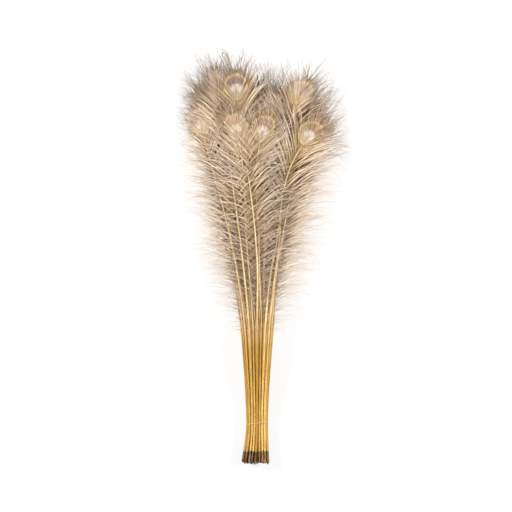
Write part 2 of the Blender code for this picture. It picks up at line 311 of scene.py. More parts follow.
class Feather:
    """One feather's place: where its quill is at the tie, and where its shaft and eye lie."""

    def __init__(self, x_tie, z_tie, layer, middle_x, eye, base_y, radius_scale, sway, lifts):
        self.x_tie = x_tie
        self.z_tie = z_tie
        self.layer = layer
        self.base_y = base_y
        self.radius_scale = radius_scale
        self.end_push = END_SHIFT + sway
        self.lifts = lifts
        self.eye_x, self.eye_y, lean = eye
        self.eye_slope = math.tan(lean)
        factor, slope = spread(VANE_Y)
        self.vane_start = (VANE_Y, x_tie * factor, x_tie * slope)
        rise = (middle_x - self.vane_start[1]) / (MIDDLE_Y - VANE_Y)
        rise += (self.eye_x - middle_x) / (self.eye_y - MIDDLE_Y)
        self.middle = (MIDDLE_Y, middle_x, rise / 2)
        self.eye = (self.eye_y, self.eye_x, self.eye_slope)
        self.measure()

    def x_and_slope(self, y):
        """The shaft's x at y, and how fast x grows with y."""
        if y <= VANE_Y:
            factor, slope = spread(y)
            push, push_slope = self.push(y)
            return self.x_tie * factor + push, self.x_tie * slope + push_slope
        if y <= MIDDLE_Y:
            return hermite(y, self.vane_start, self.middle)
        if y <= self.eye_y:
            return hermite(y, self.middle, self.eye)
        return self.eye_x + (y - self.eye_y) * self.eye_slope, self.eye_slope

    def push(self, y):
        """How far the quill is pushed aside below the tie, and how fast that grows with y."""
        part = max(0.0, (TIE_Y - y) / TIE_Y)
        return self.end_push * part**1.5, -1.5 * self.end_push * part**0.5 / TIE_Y

    def past_eye(self, y):
        """How far y is past the eye's centre, measured along the shaft."""
        return (y - self.eye_y) * math.hypot(1.0, self.eye_slope)

    def shaft_radius(self, y):
        past = self.past_eye(y)
        if past >= -EYE_APPROACH:
            radius = np.interp(past, *np.transpose(EYE_RADII))
        else:
            approach_y = self.eye_y - EYE_APPROACH / math.hypot(1.0, self.eye_slope)
            last_y = max(approach_y, LAST_VANE_Y)
            radii = SHAFT_RADII + ((last_y, EYE_RADII[0][1]),)
            radius = np.interp(y, *np.transpose(radii))
        return radius * self.radius_scale

    def shaft_height(self, y):
        """The height of the shaft's centre line."""
        radius = self.shaft_radius(y)
        if y >= VANE_Y:
            return level(self.layer, self.x_and_slope(y)[0], y) + radius
        if y >= TIE_Y:
            top = level(self.layer, self.vane_start[1], VANE_Y) + self.shaft_radius(VANE_Y)
            part = (y - TIE_Y) / (VANE_Y - TIE_Y)
            return self.z_tie + (top - self.z_tie) * part * part * (3 - 2 * part)
        flare = 1 + END_LIFT * (spread(y)[0] - 1)
        return (self.z_tie - row_height(0)) * flare + row_height(0)

    def measure(self):
        """Tables of the shaft's centre line by arc length, counted from the eye's centre."""
        end_y = self.eye_y + LAST_BARB / math.hypot(1.0, self.eye_slope)
        self.ys = np.linspace(self.base_y, end_y, SHAFT_STEPS)
        rows = [(*self.x_and_slope(y), self.shaft_height(y), self.shaft_radius(y)) for y in self.ys]
        self.xs, self.slopes, self.zs, self.radii = np.transpose(rows)
        steps = np.hypot(np.diff(self.xs), np.diff(self.ys))
        self.arcs = np.concatenate(((0.0,), np.cumsum(steps)))
        self.arcs -= np.interp(self.eye_y, self.ys, self.arcs)
        self.zs += self.lift_at(self.arcs)

    def lift_at(self, arc):
        """How far the feather rises over its sheet at a distance from the eye along the shaft."""
        return np.interp(arc, *np.transpose(self.lifts))

    def place(self, arc):
        """How far up the vane a point of the shaft is, as PLACES counts it."""
        foot = np.interp(VANE_Y, self.ys, self.arcs)
        return np.interp(arc, (foot, -EYE_BARBS, 0.0, EYE_BARBS), range(4))

    def at(self, arc):
        """Centre line points, level unit vectors along and across the shaft, and radii."""
        y = np.interp(arc, self.arcs, self.ys)
        slope = np.interp(arc, self.arcs, self.slopes)
        points = np.stack(
            (np.interp(arc, self.arcs, self.xs), y, np.interp(arc, self.arcs, self.zs)), axis=-1
        )
        size = np.hypot(1.0, slope)
        along = np.stack((slope / size, 1 / size, 0 * slope), axis=-1)
        across = np.stack((1 / size, -slope / size, 0 * slope), axis=-1)
        return points, along, across, np.interp(arc, self.arcs, self.radii)


def hidden_eye(rng, place, count):
    """An eye beneath the shown ones, spread across the head and kept inside its outline."""
    across = (place + 0.5) / count * 2 - 1
    x = HEAD_X + HEAD_SPREAD * across + rng.uniform(-LOOSE_EYE, LOOSE_EYE)
    lean = SIDE_LEAN * across + rng.uniform(-LOOSE_LEAN, LOOSE_LEAN)
    tip_x = x + TIP_REACH * math.sin(lean)
    y = head_top(tip_x) - TIP_REACH * math.cos(lean) - rng.uniform(*EYE_DEPTH)
    return x, max(y, LOWEST_EYE), lean


def lay_out():
    """All feathers, lowest layer first and from left to right in each layer."""
    rng = random.Random(LAYOUT_SEED)
    end_rng = random.Random(LAYOUT_SEED + 1)
    feathers = []
    for row, count in enumerate(ROWS):
        top_row = row == len(ROWS) - 1
        first_slots = range(0, count, 2) if count % 2 == 0 or top_row else range(1, count, 2)
        for half in (0, 1):
            layer = 2 * row + half
            slots = [s for s in range(count) if (s in first_slots) == (half == 0)]
            for place, slot in enumerate(slots):
                across = (place + 0.5) / len(slots) * 2 - 1
                middle_x = MIDDLE_X + MIDDLE_SPREAD * across
                middle_x += rng.uniform(-LOOSE_MIDDLE, LOOSE_MIDDLE)
                eye = hidden_eye(rng, place, len(slots))
                if layer in SHOWN_MIDDLES:
                    middle_x = SHOWN_MIDDLES[layer][place]
                if layer in SHOWN_EYES:
                    x, y, degrees = SHOWN_EYES[layer][place]
                    eye = (x, y, math.radians(degrees))
                base_y = rng.uniform(0.0, END_SCATTER)
                x_tie = (slot - (count - 1) / 2) * QUILL_PITCH
                radius_scale = rng.uniform(THINNEST, 1.0)
                sway = end_rng.uniform(-END_SWAY, END_SWAY)
                lifts = LIFTS.get(len(feathers) + 1, ((0.0, 0.0),))
                z_tie = row_height(row)
                feathers.append(
                    Feather(x_tie, z_tie, layer, middle_x, eye, base_y, radius_scale, sway, lifts)
                )
    return feathers


def linear(*levels):
    """A colour given as it looks, 0 to 255, as the shader's linear values."""
    out = []
    for value in levels:
        value /= 255
        out.append(value / 12.92 if value <= 0.04045 else ((value + 0.055) / 1.055) ** 2.4)
    return (*out, 1.0)


class Nodes:
    """A short way to write a node tree."""

    def __init__(self, tree):
        self.tree = tree

    def add(self, kind, **settings):
        node = self.tree.nodes.new(kind)
        for key, value in settings.items():
            setattr(node, key, value)
        return node

    def put(self, value, socket):
        if isinstance(value, bpy.types.NodeSocket):
            self.tree.links.new(value, socket)
        else:
            socket.default_value = value

    def math(self, operation, a, b=0.0):
        node = self.add("ShaderNodeMath", operation=operation)
        self.put(a, node.inputs[0])
        self.put(b, node.inputs[1])
        return node.outputs[0]

    def times(self, a, b):
        return self.math("MULTIPLY", a, b)

    def minus(self, a, b):
        return self.math("SUBTRACT", a, b)

    def step(self, value, low, high, at_low=0.0, at_high=1.0):
        """A smooth step from at_low to at_high, as the value goes from low to high."""
        node = self.add("ShaderNodeMapRange", interpolation_type="SMOOTHSTEP")
        settings = (("Value", value), ("From Min", low), ("From Max", high))
        for name, given in settings + (("To Min", at_low), ("To Max", at_high)):
            self.put(given, node.inputs[name])
        return node.outputs["Result"]

    def mix(self, factor, a, b, blend="MIX"):
        node = self.add("ShaderNodeMix", data_type="RGBA", blend_type=blend)
        self.put(factor, node.inputs["Factor"])
        self.put(a, node.inputs[6])
        self.put(b, node.inputs[7])
        return node.outputs[2]

    def noise(self, vector, scale, detail=2.0):
        node = self.add("ShaderNodeTexNoise")
        self.put(vector, node.inputs["Vector"])
        node.inputs["Scale"].default_value = scale
        node.inputs["Detail"].default_value = detail
        return node.outputs["Fac"]

    def combine(self, x, y, z):
        node = self.add("ShaderNodeCombineXYZ")
        for value, socket in zip((x, y, z), node.inputs):
            self.put(value, socket)
        return node.outputs[0]

    def attribute(self, name, output="Fac"):
        return self.add("ShaderNodeAttribute", attribute_name=name).outputs[output]

    def parts(self, name):
        """The three numbers of a vector attribute."""
        node = self.add("ShaderNodeSeparateXYZ")
        self.put(self.attribute(name, "Vector"), node.inputs[0])
        return node.outputs


def start_group(name, inputs, outputs):
    """An empty shader node group with named float, colour or vector sockets."""
    tree = bpy.data.node_groups.new(name, "ShaderNodeTree")
    kinds = {"f": "NodeSocketFloat", "c": "NodeSocketColor", "v": "NodeSocketVector"}
    for label, kind in inputs:
        tree.interface.new_socket(label, in_out="INPUT", socket_type=kinds[kind])
    for label, kind in outputs:
        tree.interface.new_socket(label, in_out="OUTPUT", socket_type=kinds[kind])
    nodes = Nodes(tree)
    return nodes, nodes.add("NodeGroupInput").outputs, nodes.add("NodeGroupOutput").inputs


def keratin_streaks_group():
    """Fine streaks along a quill or a barb: dry keratin has them at every size."""
    nodes, given, out = start_group(
        "keratin_streaks",
        (("Along", "f"), ("Round", "f"), ("Tone", "f"), ("Fineness", "f")),
        (("Streaks", "f"), ("Height", "f")),
    )
    shifted = nodes.math("ADD", given["Round"], nodes.times(given["Tone"], 7.3))
    fine = nodes.times(shifted, given["Fineness"])
    vector = nodes.combine(nodes.times(given["Along"], 40.0), fine, given["Tone"])
    coarse = nodes.noise(vector, 1.0, 3.0)
    hair = nodes.noise(vector, 4.0, 2.0)
    nodes.put(nodes.step(coarse, 0.36, 0.66), out["Streaks"])
    nodes.put(hair, out["Height"])
    return nodes.tree


def eye_pattern_group():
    """An eye's colours by the place on the flat feather: ring, crown, disc and white heart."""
    nodes, given, out = start_group(
        "eye_pattern",
        (
            ("Across", "f"), ("Along", "f"), ("Heart", "f"),
            ("Barb Colour", "c"), ("Crown Colour", "c"),
        ),
        (("Colour", "c"), ("Inside", "f")),
    )
    across, along = given["Across"], given["Along"]

    def size(x, y):
        return nodes.math("SQRT", nodes.math("ADD", nodes.times(x, x), nodes.times(y, y)))

    def distance(x, y):
        return size(nodes.minus(across, x), nodes.minus(along, y))

    # The ring narrows to a point where the shaft comes in
    taper = nodes.step(nodes.times(along, -1.0), 0.004, RING_LENGTH, 1.0, 1.3)
    ring_x = nodes.times(nodes.math("DIVIDE", across, RING_WIDTH), taper)
    ring = size(ring_x, nodes.math("DIVIDE", along, RING_LENGTH))
    inside = nodes.step(ring, 1.04, 0.95)
    band = nodes.times(nodes.step(ring, 1.09, 1.02), nodes.step(ring, 0.88, 0.96))
    band = nodes.times(band, nodes.step(along, 0.008, 0.026, 0.85, 0.50))
    shade = nodes.times(nodes.step(ring, 1.36, 1.20), nodes.step(ring, 1.06, 1.14))
    near = nodes.step(ring, 2.3, 1.1)

    # The white heart is two round lobes and a cap over a darker pith, in the middle of the disc
    lobe = nodes.math("MINIMUM", distance(0.0050, -0.0055), distance(-0.0050, -0.0055))
    cap = nodes.minus(distance(0.0, -0.0015), 0.0012)
    heart = nodes.step(nodes.math("MINIMUM", lobe, cap), 0.0058, 0.0048)
    pith = nodes.step(distance(0.0, -0.0070), 0.0046, 0.0014)
    disc = nodes.step(distance(0.0, -0.0065), 0.0145, 0.0120)
    crown_x = nodes.math("DIVIDE", across, 0.0165)
    crown_y = nodes.math("DIVIDE", nodes.minus(along, 0.0095), 0.0115)
    crown = nodes.step(size(crown_x, crown_y), 1.06, 0.86)

    colour = nodes.mix(near, given["Barb Colour"], linear(194, 168, 130))
    colour = nodes.mix(inside, colour, linear(188, 160, 126))
    colour = nodes.mix(nodes.times(inside, crown), colour, given["Crown Colour"])
    disc = nodes.times(disc, nodes.math("MAXIMUM", given["Heart"], 0.2))
    colour = nodes.mix(nodes.times(inside, disc), colour, linear(196, 176, 148))
    heart = nodes.times(heart, given["Heart"])
    pith = nodes.times(pith, given["Heart"])
    colour = nodes.mix(heart, colour, linear(220, 208, 196))
    colour = nodes.mix(nodes.times(pith, 0.6), colour, linear(184, 164, 146))
    colour = nodes.mix(nodes.times(shade, 0.6), colour, linear(164, 138, 102))
    colour = nodes.mix(band, colour, linear(220, 194, 154))
    nodes.put(colour, out["Colour"])
    nodes.put(inside, out["Inside"])
    return nodes.tree


def new_material(name):
    made = bpy.data.materials.new(name)
    made.use_nodes = True
    return made, Nodes(made.node_tree), made.node_tree.nodes["Principled BSDF"]


def set_inputs(node, **values):
    """Values that are the same all over, set on the node's own sockets."""
    for key, value in values.items():
        node.inputs[key.replace("_", " ")].default_value = value


def place_group(nodes, tree, **values):
    node = nodes.add("ShaderNodeGroup", node_tree=tree)
    for key, value in values.items():
        nodes.put(value, node.inputs[key.replace("_", " ")])
    return node.outputs


def barb_material(streaks_tree, eye_tree):
    """Loose barbs: tan at the shaft, taupe along their length, golden round the eye, with painted
    shade on those inside the bunch.
    """
    made, nodes, shader = new_material("bleached_barbs")
    across, along, out = nodes.parts("from_eye")
    tone = nodes.attribute("tone")
    ridge = nodes.attribute("ridge")
    # The look's third number is how much painted shade a barb gets
    clear, warmth, inner = nodes.parts("look")
    streaks = place_group(nodes, streaks_tree, Along=out, Round=tone, Tone=tone, Fineness=9.0)

    colour = nodes.mix(nodes.step(out, 0.05, 0.36), linear(230, 194, 146), linear(255, 230, 200))
    colour = nodes.mix(nodes.step(out, 0.34, 0.75), colour, linear(246, 227, 212))
    # Painted shade: inner barbs are painted dark below their eye, as if in the bunch's shade, and
    # less so at their tips
    depth = nodes.times(inner, nodes.step(along, -0.030, -0.090))
    depth = nodes.times(depth, nodes.step(out, 0.80, 0.35, 0.15, 1.0))
    colour = nodes.mix(depth, colour, linear(58, 34, 12))
    crown = nodes.mix(warmth, linear(146, 123, 122), linear(180, 146, 116))
    heart = nodes.step(clear, 0.6, 1.0)
    eye = place_group(
        nodes, eye_tree,
        Across=across, Along=along, Heart=heart, Barb_Colour=colour, Crown_Colour=crown,
    )
    colour = nodes.mix(clear, colour, eye["Colour"])
    inside = nodes.times(eye["Inside"], clear)
    fringe = nodes.step(along, 0.020, 0.036)
    # Where an eye hardly shows, the hairs' colour begins below it
    faint = nodes.times(nodes.step(clear, 0.65, 0.40), nodes.step(along, -0.050, 0.0))
    fringe = nodes.times(nodes.math("MAXIMUM", fringe, faint), 0.9)
    fringe = nodes.times(fringe, nodes.minus(1.0, inside))
    hairs = nodes.mix(warmth, linear(146, 126, 110), linear(190, 162, 130))
    colour = nodes.mix(fringe, colour, hairs)
    # A barb is pale along its ridge and darker at its fluffy edges, less so in the eye's close web.
    # Painted shade darkens the edges further on inner barbs and in the core, and most of all near
    # the shaft, where only a thin bright line is left
    edge_low = nodes.minus(0.40, nodes.times(inner, 0.22))
    edge_low = nodes.times(edge_low, nodes.step(out, 0.04, 0.34, 0.12, 1.0))
    edge_low = nodes.step(inside, 0.0, 1.0, edge_low, 0.88)
    foot = nodes.step(out, 0.04, 0.30, 0.95, 0.55)
    foot = nodes.step(inside, 0.0, 1.0, foot, 0.55)
    edges = nodes.step(ridge, 0.05, foot, edge_low, 1.0)
    # Painted shade: inner barbs' darkest tones are lowered further
    tone_low = nodes.step(inside, 0.0, 1.0, 0.60, 0.90)
    tone_low = nodes.minus(tone_low, nodes.times(inner, 0.28))
    tone_high = nodes.step(inside, 0.0, 1.0, 1.20, 1.04)
    tones = nodes.step(tone, 0.0, 1.0, tone_low, tone_high)
    flecks = nodes.step(streaks["Streaks"], 0.0, 1.0, 0.90, 1.04)
    value = nodes.times(nodes.times(edges, tones), flecks)
    # Painted shade: inner barbs are a little darker overall
    value = nodes.times(value, nodes.step(inner, 0.0, 1.0, 1.0, 0.97))
    # Darker values, painted shade among them, are browner too
    red = nodes.math("POWER", value, 0.82)
    blue = nodes.math("POWER", value, 1.40)
    final = nodes.mix(1.0, colour, nodes.combine(red, value, blue), "MULTIPLY")
    nodes.put(final, shader.inputs["Base Color"])
    set_inputs(
        shader, Roughness=0.62, Sheen_Weight=0.08, Sheen_Roughness=0.5, Specular_IOR_Level=0.15
    )
    return made


def quill_material(streaks_tree):
    """Glossy golden quill, paler towards the tip, with a dark streaked root end."""
    made, nodes, shader = new_material("golden_quill")
    length, turn, level_y = nodes.parts("from_end")
    tone = nodes.attribute("tone")
    streaks = place_group(nodes, streaks_tree, Along=length, Round=turn, Tone=tone, Fineness=6.0)

    gold = nodes.mix(tone, linear(186, 138, 52), linear(242, 202, 116))
    gold = nodes.mix(nodes.step(length, 0.20, 0.38), gold, linear(240, 216, 164))
    flecks = nodes.times(streaks["Streaks"], 0.55)
    gold = nodes.mix(flecks, gold, linear(162, 112, 34))
    # The bunch was dipped as a whole, so the dark ends stop at one level
    wobble = nodes.times(nodes.minus(streaks["Height"], 0.5), 0.006)
    edge = nodes.math("ADD", nodes.math("ADD", level_y, wobble), nodes.times(tone, -0.003))
    dark = nodes.step(edge, 0.0265, 0.0235)
    root = nodes.mix(tone, linear(104, 56, 12), linear(176, 138, 88))
    root = nodes.mix(nodes.step(streaks["Streaks"], 0.2, 0.6), linear(48, 22, 4), root)
    colour = nodes.mix(dark, gold, root)
    nodes.put(colour, shader.inputs["Base Color"])
    rough = nodes.step(dark, 0.0, 1.0, 0.30, 0.62)
    nodes.put(rough, shader.inputs["Roughness"])
    bump = nodes.add("ShaderNodeBump")
    set_inputs(bump, Strength=0.25, Distance=0.0002)
    nodes.put(streaks["Height"], bump.inputs["Height"])
    nodes.put(bump.outputs["Normal"], shader.inputs["Normal"])
    return made


def thread_material():
    made, nodes, shader = new_material("pale_thread")
    turns = nodes.attribute("tone")
    fuzz = nodes.noise(nodes.attribute("from_end", "Vector"), 900.0)
    colour = nodes.mix(fuzz, linear(222, 188, 140), linear(246, 222, 180))
    colour = nodes.mix(nodes.times(turns, 0.35), colour, linear(198, 158, 108))
    nodes.put(colour, shader.inputs["Base Color"])
    set_inputs(shader, Roughness=0.8, Sheen_Weight=0.3)
    return made


def add_object(name, data):
    made = bpy.data.objects.new(name, data)
    bpy.context.scene.collection.objects.link(made)
    return made


def select(pieces):
    """Selects just these pieces, with the first one active."""
    bpy.ops.object.select_all(action="DESELECT")
    for piece in pieces:
        piece.select_set(True)
    bpy.context.view_layer.objects.active = pieces[0]


def model_quill():
    """One straight quill, a unit long along +Y and a unit in radius, with a hollow end."""
    bpy.ops.mesh.primitive_cylinder_add(
        vertices=QUILL_SIDES, radius=1.0, depth=1.0, location=(0.0, 0.5, 0.0),
        rotation=(-math.pi / 2, 0, 0),
    )
    bpy.ops.object.transform_apply(location=True, rotation=True, scale=True)
    quill = bpy.context.object
    quill.name = "quill_pattern"
    bpy.ops.object.mode_set(mode="EDIT")
    bpy.ops.mesh.select_mode(type="EDGE")
    bpy.ops.mesh.select_all(action="DESELECT")
    bpy.ops.object.mode_set(mode="OBJECT")
    # Only the long edges are cut, so the quill stays light
    for edge in quill.data.edges:
        a, b = (quill.data.vertices[i].co for i in edge.vertices)
        edge.select = abs(a.y - b.y) > 0.5
    bpy.ops.object.mode_set(mode="EDIT")
    bpy.ops.mesh.subdivide(number_cuts=QUILL_CUTS)
    bpy.ops.mesh.select_mode(type="FACE")
    bpy.ops.mesh.select_all(action="DESELECT")
    bpy.ops.object.mode_set(mode="OBJECT")
    for face in quill.data.polygons:
        face.select = face.center.y < 1e-4
    bpy.ops.object.mode_set(mode="EDIT")
    bpy.ops.mesh.inset(thickness=QUILL_WALL)
    bpy.ops.transform.translate(value=(0.0, HOLLOW_DEPTH, 0.0))
    bpy.ops.object.mode_set(mode="OBJECT")
    bpy.ops.object.shade_smooth_by_angle(angle=math.radians(50))
    lay_quill_flat(quill.data)
    return quill


def bent_quill(pattern, feather, rng):
    """The straight quill's mesh laid along one feather's centre line."""
    mesh = pattern.data.copy()
    count = len(mesh.vertices)
    unit = np.empty(count * 3)
    mesh.vertices.foreach_get("co", unit)
    unit = unit.reshape(-1, 3)
    start = feather.arcs[0]
    arc = start + unit[:, 1] * (SHAFT_END - start)
    points, along, across, radius = feather.at(arc)
    radius = radius * np.interp(arc, (SHAFT_END - SHAFT_FADE, SHAFT_END), (1.0, SHAFT_END_SHARE))
    # Past the bare quill the shaft is flatter beneath, as real shafts are
    in_vane = np.clip((points[:, 1] - VANE_Y) / 0.05, 0, 1)
    height = unit[:, 2] * np.where(unit[:, 2] < 0, 1 - FLAT_UNDERSIDE * in_vane, 1.0)
    placed = points + across * (unit[:, 0] * radius)[:, None]
    placed[:, 2] += height * radius
    mesh.vertices.foreach_set("co", (placed - ORIGIN).ravel())
    turn = np.arctan2(unit[:, 2], unit[:, 0]) / (2 * math.pi)
    length = arc - start
    from_end = np.stack((length, turn, points[:, 1]), axis=-1)
    add_attribute(mesh, "from_end", from_end)
    add_attribute(mesh, "from_eye", np.stack((0 * arc, arc, 0 * arc), axis=-1))
    add_attribute(mesh, "tone", np.full(count, rng.random()))
    add_attribute(mesh, "ridge", np.ones(count))
    add_attribute(mesh, "look", np.zeros((count, 3)))
    mesh.update()
    return mesh


def lay_quill_flat(mesh):
    """The quill's own part of the bake map: a strip along the map's top edge."""
    places = []
    for face in mesh.polygons:
        corners = [mesh.vertices[index].co for index in face.vertices]
        turns = [math.atan2(co.z, co.x) / (2 * math.pi) for co in corners]
        if len(turns) == 4 and max(turns) - min(turns) > 0.5:
            turns = [turn % 1.0 for turn in turns]
        for co, turn in zip(corners, turns):
            inward = 1 - math.hypot(co.x, co.z)
            places.append((0.01 + 0.96 * co.y + 0.012 * inward, 0.950 + 0.030 * (turn + 0.5)))
    while mesh.uv_layers:
        mesh.uv_layers.remove(mesh.uv_layers[0])
    add_bake_map(mesh, *np.transpose(places))


def add_bake_map(mesh, u, v):
    layer = mesh.uv_layers.new(name="OFBake")
    layer.data.foreach_set("uv", np.stack((u, v), axis=-1).ravel())


def add_attribute(mesh, name, values):
    """A number or, where there are three values a vertex, a vector at each vertex."""
    values = np.ascontiguousarray(values, dtype=np.float32).ravel()
    vector = len(values) == 3 * len(mesh.vertices)
    made = mesh.attributes.new(name, "FLOAT_VECTOR" if vector else "FLOAT", "POINT")
    made.data.foreach_set("vector" if vector else "value", values)


def barb_roots(feather, rng, thinning):
    """Where one side's barbs leave the shaft, each about one spacing from the last."""
    arcs = np.linspace(np.interp(VANE_Y, feather.ys, feather.arcs), LAST_BARB, 600)
    place = feather.place(arcs)
    spacing = np.interp(place, PLACES, SPACINGS)
    spacing *= np.interp(place, (0.4, 0.7, 1.0, 1.5), (thinning**2, thinning, thinning, 1.0))
    number = np.concatenate(((0.0,), np.cumsum(np.diff(arcs) / spacing[:-1])))
    wanted = np.arange(0.5, number[-1])
    return np.interp(wanted + rng.uniform(-0.35, 0.35, len(wanted)), number, arcs)


def keep_inside(points, base, rng):
    """Shortens the barbs that would reach too far to the side or past the tips."""
    limit = SIDE_LIMIT * rng.uniform(0.94, 1.0, len(points))
    root = base[:, 0] - ORIGIN[0]
    furthest = np.abs(points[..., 0] - ORIGIN[0]).max(axis=1)
    room = np.clip((limit - np.abs(root)) / np.maximum(furthest - np.abs(root), 1e-6), 0.2, 1.0)
    start = base[:, 1] - ORIGIN[1]
    furthest = (points[..., 1] - ORIGIN[1]).max(axis=1)
    ahead = TIP_LIMIT * rng.uniform(0.93, 1.0, len(points)) - start
    room = np.minimum(room, np.clip(ahead / np.maximum(furthest - start, 1e-6), 0.2, 1.0))
    points[...] = base[:, None] + (points - base[:, None]) * room[:, None, None]


def to_ring(roots, angle):
    """How far a straight barb goes before it leaves its eye's ring, or 0 where it misses it."""
    a = (np.sin(angle) / RING_WIDTH) ** 2 + (np.cos(angle) / RING_LENGTH) ** 2
    b = 2 * roots * np.cos(angle) / RING_LENGTH**2
    c = (roots / RING_LENGTH) ** 2 - 1
    inner = b * b - 4 * a * c
    return np.where(inner > 0, (-b + np.sqrt(np.maximum(inner, 0.0))) / (2 * a), 0.0)


class Vane:
    """One feather's barbs, as arrays with a row a barb and a column for each point of its line.

    t runs from 0 at the shaft to 1 at a barb's tip. A barb is loose below the eye and held round it.
    """

    def __init__(self, feather, number):
        self.feather = feather
        self.rng = np.random.default_rng(BARB_SEED + number)
        # The hidden layers have fewer and shorter barbs
        self.shown = feather.layer >= FIRST_SHOWN_LAYER or feather.layer == 0
        self.segments = SHOWN_SEGMENTS if self.shown else HIDDEN_SEGMENTS
        self.reach = LONGER.get(number, 1.0) if self.shown else HIDDEN_REACH
        self.reach *= 1 + RIGHT_REACH * smooth((feather.eye_x - 0.06) / 0.05)
        thinning = SPARSE.get(number, 1.0 if self.shown else HIDDEN_THINNING)
        sides = [barb_roots(feather, self.rng, thinning) for _ in range(2)]
        self.roots = np.concatenate(sides)
        self.side = np.repeat((-1.0, 1.0), [len(one) for one in sides])
        self.count = len(self.roots)
        self.t = np.linspace(0.0, 1.0, self.segments + 1)[None, :]
        self.place = feather.place(self.roots)
        self.loose = smooth((1.6 - self.place) / 0.4)
        # Loose barbs cling together in locks, with dark gaps between the locks
        wobble = 0.25 * np.sin(self.roots * 190.0 + self.side * 2.0)
        self.lock = np.round(self.roots / LOCK_SIZE + wobble)
        self.locks, self.in_lock = np.unique(self.lock * 2 + self.side * 0.5, return_inverse=True)
        self.lay_flat()

    def at_roots(self, values):
        """Values of one column of the barbs' table, at each barb's root."""
        return np.interp(self.place, PLACES, values)

    def uniform(self, low, high):
        return self.rng.uniform(low, high, self.count)

    def chance(self, draw, *limits):
        """A random value for each barb, most of which the loose ones share with their lock."""
        own = draw(*limits, self.count)
        shared = draw(*limits, len(self.locks))[self.in_lock]
        return own + (shared - own) * LOCK_SHARE * self.loose

    def lengths(self, start_angle, tip_angle):
        length = self.at_roots(LENGTHS) * self.uniform(0.82, 1.08)
        length *= 1 - (1 - self.reach) * np.where(self.reach > 1, 1.0, self.loose)
        # Most barbs round an eye end just past its ring. A few go on beyond it as long hairs
        kind = self.rng.random(self.count)
        at_eye = self.place > 1.5
        ring_end = to_ring(self.roots, start_angle + (tip_angle - start_angle) * 0.4)
        past_ring = ring_end * self.uniform(1.15, 1.80) + 0.004
        past_ring = np.where(ring_end > 0, past_ring, length * self.uniform(0.50, 0.68))
        length = np.where((kind < RING_SHARE) & at_eye, past_ring, length)
        length = np.where((kind > 1 - LONG_SHARE) & at_eye, length * 1.25, length)
        # Low down many barbs are short, so that the bunch's sides grow airy towards their edge
        airy = smooth((1.1 - self.place) / 0.3) * self.rng.random(self.count) ** 1.4
        return length * (1 - 0.55 * airy)

    def angles(self, start_angle, tip_angle):
        """The angle to the shaft at each point: an arch with waves, a flick and a curl."""
        rng, t, loose = self.rng, self.t, self.loose
        bend = self.chance(rng.uniform, 1.2, 1.7)
        angles = start_angle[:, None] + (tip_angle - start_angle)[:, None] * t ** bend[:, None]
        wave = self.uniform(0.06, 0.30) * (0.45 + 0.75 * loose)
        phase = self.chance(rng.uniform, 0, 2 * math.pi)[:, None]
        pace = self.chance(rng.uniform, 4, 12)[:, None]
        angles = angles + wave[:, None] * t * np.sin(phase + t * pace)
        flick = rng.normal(0.0, 0.50, self.count) * (0.75 + 0.25 * loose)
        angles = angles + flick[:, None] * smooth((t - 0.45) / 0.50)
        # The hairs past an eye curl
        curly = self.uniform(0.20, 0.70) * (1 - loose)
        return angles + curly[:, None] * np.sin(phase * 2 + t * 10) * smooth((t - 0.45) / 0.35)

    def lay_flat(self):
        """Each point's place on the flat feather: forward from the root and out from the shaft."""
        normal, loose = self.rng.normal, self.loose
        start_angle = np.radians(self.at_roots(START_ANGLES))
        start_angle = start_angle + self.chance(normal, 0, 0.08) * (0.3 + loose)
        tip_angle = np.radians(self.at_roots(TIP_ANGLES))
        tip_angle = tip_angle + self.chance(normal, 0, 0.22) * (0.25 + loose)
        step = self.lengths(start_angle, tip_angle)[:, None] / self.segments
        angles = self.angles(start_angle, tip_angle)
        middle = (angles[:, 1:] + angles[:, :-1]) / 2
        zero = np.zeros((self.count, 1))
        forward = np.concatenate((zero, np.cumsum(np.cos(middle) * step, axis=1)), axis=1)
        self.out = np.concatenate((zero, np.cumsum(np.sin(middle) * step, axis=1)), axis=1)
        pull = (self.lock * LOCK_SIZE - self.roots) * LOCK_PULL * loose
        self.forward = forward + pull[:, None] * smooth(self.t / 0.22)
        self.along = self.roots[:, None] + self.forward

    def points(self):
        """The barbs' lines in the bunch, each lying on its layer's sheet."""
        feather, t, loose = self.feather, self.t, self.loose
        base, along, across, radius = feather.at(self.roots)
        # Past the shaft's end the two sides' barbs meet on its line
        open_line = smooth((self.roots - SHAFT_END + 0.002) / 0.004)
        root_out = radius * 0.7 * (1 - open_line) - 0.0004 * open_line
        out = (self.out + root_out[:, None]) * self.side[:, None]
        points = base[:, None, :] + along[:, None, :] * self.forward[..., None]
        points = points + across[:, None, :] * out[..., None]
        keep_inside(points, base, self.rng)
        x, y = points[..., 0], points[..., 1]
        low = self.rng.random(self.count) < 0.25
        lay = np.where(low, self.uniform(0.1, 0.45), self.uniform(0.45, 1.05))
        lay = lay * loose + self.uniform(0.44, 0.52) * (1 - loose)
        rise = smooth(t / 0.3)
        height = radius[:, None] * 1.1 * (1 - rise) + (lay[:, None] * layer_pitch(y)) * rise
        curl = self.rng.normal(0.0, TIP_CURL, self.count) * (0.3 + 0.7 * loose)
        height = height + curl[:, None] * t**2.5
        height = height + feather.lift_at(self.along)
        points[..., 2] = np.clip(level(feather.layer, x, y) + height, LOWEST_BARB, TOP_LIMIT)
        return points

    def widths(self, number, clear):
        t = self.t
        # The web is closed inside the ring of an eye that can be seen
        eye_shows = self.shown and self.feather.layer != FIRST_SHOWN_LAYER and clear > 0.5
        ring = np.hypot(self.out / RING_WIDTH, self.along / RING_LENGTH)
        inside = smooth((1.55 - ring) / 0.45) * (1.0 if eye_shows else 0.3)
